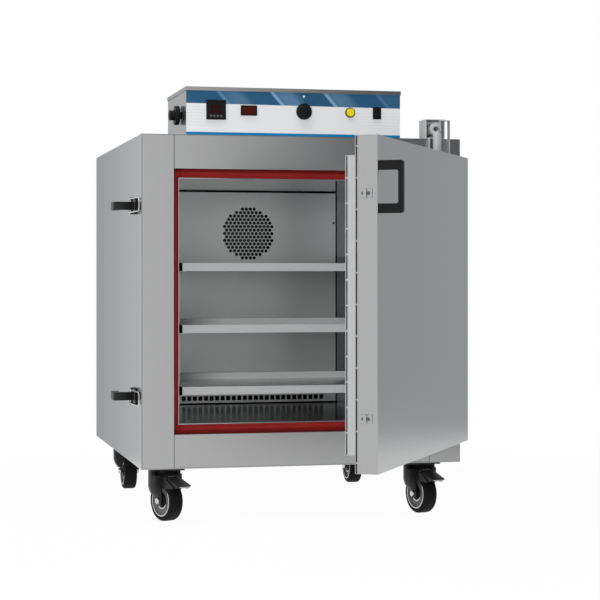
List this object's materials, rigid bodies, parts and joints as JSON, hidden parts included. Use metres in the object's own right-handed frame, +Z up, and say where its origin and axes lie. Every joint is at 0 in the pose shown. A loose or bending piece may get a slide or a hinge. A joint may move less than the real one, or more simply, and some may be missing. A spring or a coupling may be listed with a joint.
{
  "type": "dry heat sterilizer",
  "caption": "Floor-standing hot-air sterilizing oven on braked swivel casters, with a hinged door, lipped sliding trays, a rear air baffle and a control box on top.",
  "frame": {"origin": "on the floor, under the middle of the bounding box with the door open as built", "axes": "+Z up; +Y runs from the front to the back; +X runs to the right as seen from the front"},
  "size_m": [0.8738, 1.6664, 1.06],
  "materials": {
    "brushed_steel": "fine-brushed stainless sheet",
    "polished_liner": "mirror-polished stainless sheet",
    "plain_steel": "smooth bright stainless or nickel-plated steel",
    "red_silicone": "satin red silicone",
    "mineral_wool": "mineral wool",
    "black_plastic": "satin black moulding",
    "black_enamel": "black enamelled pressed steel",
    "black_rubber": "black solid tyre on a grey rim",
    "yellow_lens": "glossy yellow lens",
    "dark_red_window": "dark red display window",
    "pale_fascia": null,
    "dark_metal": "dark cast motor can and oxidised heater sheath"
  },
  "bodies": {
    "cabinet": {"cabinet_wrap": "brushed_steel", "base_panel": "brushed_steel", "rear_panel": "brushed_steel", "front_column_left": "brushed_steel", "front_column_right": "brushed_steel", "top_rail": "brushed_steel", "bottom_rail": "brushed_steel", "chamber_liner": "polished_liner", "insulation": "mineral_wool", "door_seal": "red_silicone", "air_baffle": "brushed_steel", "shelf_rack_left": "plain_steel", "shelf_rack_right": "plain_steel", "fan_motor": "dark_metal", "heater_element": "dark_metal", "control_box_body": "brushed_steel", "control_box_lid": "brushed_steel", "control_fascia": "pale_fascia", "temperature_controller": "black_plastic", "alarm_display": "dark_red_window", "push_button_bezel": "plain_steel", "rocker_frame": "black_plastic", "mains_inlet": "black_plastic", "vent_housing": "brushed_steel", "vent_pipe": "plain_steel", "vent_bracket": "brushed_steel", "hinge_bracket_upper": "plain_steel", "hinge_bracket_lower": "plain_steel", "latch_base_lower": "plain_steel", "latch_base_upper": "plain_steel", "caster_plate_front_left": "black_enamel", "caster_plate_front_right": "black_enamel", "caster_plate_rear_left": "black_enamel", "caster_plate_rear_right": "black_enamel"},
    "door": {"door_shell": "brushed_steel", "door_plug": "plain_steel", "door_handle": "black_plastic", "keeper_lower": "plain_steel", "keeper_upper": "plain_steel"},
    "tray_lower": {"shelf_lower": "plain_steel"},
    "tray_middle": {"shelf_middle": "plain_steel"},
    "tray_upper": {"shelf_upper": "plain_steel"},
    "fan_wheel": {"fan_impeller": "plain_steel"},
    "knob": {"selector_knob": "black_plastic"},
    "button": {"push_button": "yellow_lens"},
    "rocker": {"rocker_switch": "black_plastic"},
    "lever_lower": {"latch_lever_lower": "black_plastic"},
    "lever_upper": {"latch_lever_upper": "black_plastic"},
    "bail_lower": {"latch_bail_lower": "plain_steel"},
    "bail_upper": {"latch_bail_upper": "plain_steel"},
    "fork_front_left": {"caster_fork_front_left": "black_enamel"},
    "wheel_front_left": {"caster_wheel_front_left": "black_rubber"},
    "fork_front_right": {"caster_fork_front_right": "black_enamel"},
    "wheel_front_right": {"caster_wheel_front_right": "black_rubber"},
    "fork_rear_left": {"caster_fork_rear_left": "black_enamel"},
    "wheel_rear_left": {"caster_wheel_rear_left": "black_rubber"},
    "fork_rear_right": {"caster_fork_rear_right": "black_enamel"},
    "wheel_rear_right": {"caster_wheel_rear_right": "black_rubber"},
    "pedal_front_left": {"brake_pedal_front_left": "black_enamel"},
    "pedal_front_right": {"brake_pedal_front_right": "black_enamel"}
  },
  "joints": [
    {"name": "door_hinge", "type": "hinge", "parent": "cabinet", "child": "door", "pos_m": [0.40911, -0.12378, 0.54], "axis": [0, 0, 1], "range_deg": [-57.95, 62]},
    {"name": "tray_slide_lower", "type": "slide", "parent": "cabinet", "child": "tray_lower", "axis": [0, -1, 0], "range_m": [0, 0.1]},
    {"name": "tray_slide_middle", "type": "slide", "parent": "cabinet", "child": "tray_middle", "axis": [0, -1, 0], "range_m": [0, 0.1]},
    {"name": "tray_slide_upper", "type": "slide", "parent": "cabinet", "child": "tray_upper", "axis": [0, -1, 0], "range_m": [0, 0.1]},
    {"name": "fan_spin", "type": "hinge", "parent": "cabinet", "child": "fan_wheel", "pos_m": [0.02211, 0.62, 0.7184], "axis": [0, 1, 0], "continuous": true},
    {"name": "knob_turn", "type": "hinge", "parent": "cabinet", "child": "knob", "pos_m": [0.02166, -0.09378, 1.0038], "axis": [0, 1, 0], "range_deg": [-135, 135]},
    {"name": "button_press", "type": "slide", "parent": "cabinet", "child": "button", "axis": [0, 1, 0], "range_m": [0, 0.003], "stiffness_N_per_m": 600, "springref_m": -0.002},
    {"name": "rocker_tilt", "type": "hinge", "parent": "cabinet", "child": "rocker", "pos_m": [0.20861, -0.09378, 1.0038], "axis": [1, 0, 0], "range_deg": [0, 18]},
    {"name": "lever_pivot_lower", "type": "hinge", "parent": "cabinet", "child": "lever_lower", "pos_m": [-0.39089, 0.00622, 0.302], "axis": [0, 0, 1], "range_deg": [0, 90]},
    {"name": "bail_pivot_lower", "type": "hinge", "parent": "lever_lower", "child": "bail_lower", "pos_m": [-0.39889, 0.00822, 0.302], "axis": [0, 0, 1], "range_deg": [-90, 0]},
    {"name": "lever_pivot_upper", "type": "hinge", "parent": "cabinet", "child": "lever_upper", "pos_m": [-0.39089, 0.00622, 0.7716], "axis": [0, 0, 1], "range_deg": [0, 90]},
    {"name": "bail_pivot_upper", "type": "hinge", "parent": "lever_upper", "child": "bail_upper", "pos_m": [-0.39889, 0.00822, 0.7716], "axis": [0, 0, 1], "range_deg": [-90, 0]},
    {"name": "swivel_front_left", "type": "hinge", "parent": "cabinet", "child": "fork_front_left", "pos_m": [-0.31639, -0.04778, 0.115], "axis": [0, 0, 1], "continuous": true},
    {"name": "roll_front_left", "type": "hinge", "parent": "fork_front_left", "child": "wheel_front_left", "pos_m": [-0.31399, -0.05328, 0.05], "axis": [0.9171, 0.3987, 0], "continuous": true},
    {"name": "pedal_pivot_front_left", "type": "hinge", "parent": "fork_front_left", "child": "pedal_front_left", "pos_m": [-0.29884, -0.08813, 0.092], "axis": [0.9171, 0.3987, 0], "range_deg": [0, 8]},
    {"name": "swivel_front_right", "type": "hinge", "parent": "cabinet", "child": "fork_front_right", "pos_m": [0.33461, -0.04778, 0.115], "axis": [0, 0, 1], "continuous": true},
    {"name": "roll_front_right", "type": "hinge", "parent": "fork_front_right", "child": "wheel_front_right", "pos_m": [0.33617, -0.05357, 0.05], "axis": [0.9659, 0.2588, 0], "continuous": true},
    {"name": "pedal_pivot_front_right", "type": "hinge", "parent": "fork_front_right", "child": "pedal_front_right", "pos_m": [0.346, -0.09028, 0.092], "axis": [0.9659, 0.2588, 0], "range_deg": [0, 8]},
    {"name": "swivel_rear_left", "type": "hinge", "parent": "cabinet", "child": "fork_rear_left", "pos_m": [-0.31639, 0.62322, 0.115], "axis": [0, 0, 1], "continuous": true},
    {"name": "roll_rear_left", "type": "hinge", "parent": "fork_rear_left", "child": "wheel_rear_left", "pos_m": [-0.31639, 0.61722, 0.05], "axis": [1, 0, 0], "continuous": true},
    {"name": "swivel_rear_right", "type": "hinge", "parent": "cabinet", "child": "fork_rear_right", "pos_m": [0.33461, 0.62322, 0.115], "axis": [0, 0, 1], "continuous": true},
    {"name": "roll_rear_right", "type": "hinge", "parent": "fork_rear_right", "child": "wheel_rear_right", "pos_m": [0.33461, 0.61722, 0.05], "axis": [1, 0, 0], "continuous": true}
  ],
  "couplings": [
    {"joint": "bail_pivot_lower", "follows": "lever_pivot_lower", "ratio": -1},
    {"joint": "bail_pivot_upper", "follows": "lever_pivot_upper", "ratio": -1}
  ]
}
